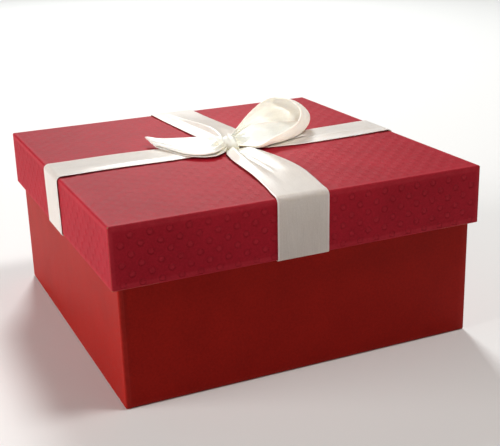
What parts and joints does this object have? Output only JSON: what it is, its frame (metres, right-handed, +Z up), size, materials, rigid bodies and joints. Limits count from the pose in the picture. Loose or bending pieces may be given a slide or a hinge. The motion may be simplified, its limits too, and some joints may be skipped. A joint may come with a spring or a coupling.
{
  "type": "gift box",
  "caption": "Square rigid gift box with a lift-off embossed paper lid, a smooth paper base and a satin ribbon tied over the lid in a bow.",
  "frame": {"origin": "middle of the underside of the base", "axes": "+Z up; -Y is the front, the face with the full-height lap seam at its left end; +X is to the right seen from the front"},
  "size_m": [0.181, 0.181, 0.1064],
  "materials": {
    "greyboard": "matt, flecked recycled fibre",
    "stay_paper": "matt kraft",
    "base_paper": "smooth satin-coated, fine grain",
    "lid_paper": "satin-coated, embossed with dots",
    "lining_paper": "matt uncoated",
    "satin": "single-face satin, woven edges",
    "tape": "clear double-sided film"
  },
  "bodies": {
    "base": {"base_bottom_board": "greyboard", "base_front_board": "greyboard", "base_back_board": "greyboard", "base_left_board": "greyboard", "base_right_board": "greyboard", "base_corner_stays": "stay_paper", "base_wrap": "base_paper", "base_bottom_sheet": "base_paper", "base_lining": "lining_paper"},
    "lid": {"lid_top_board": "greyboard", "lid_front_board": "greyboard", "lid_back_board": "greyboard", "lid_left_board": "greyboard", "lid_right_board": "greyboard", "lid_corner_stays": "stay_paper", "lid_wrap": "lid_paper", "lid_lining": "lining_paper", "ribbon_lengthwise": "satin", "ribbon_crosswise": "satin", "ribbon_tape_pads": "tape", "bow_knot": "satin", "bow_right_loop": "satin", "bow_left_loop": "satin", "bow_right_tail": "satin", "bow_back_tail": "satin"}
  },
  "joints": [
    {"name": "lid_lift", "type": "slide", "parent": "base", "child": "lid", "axis": [0, 0, 1], "range_m": [0, 0.06]}
  ]
}
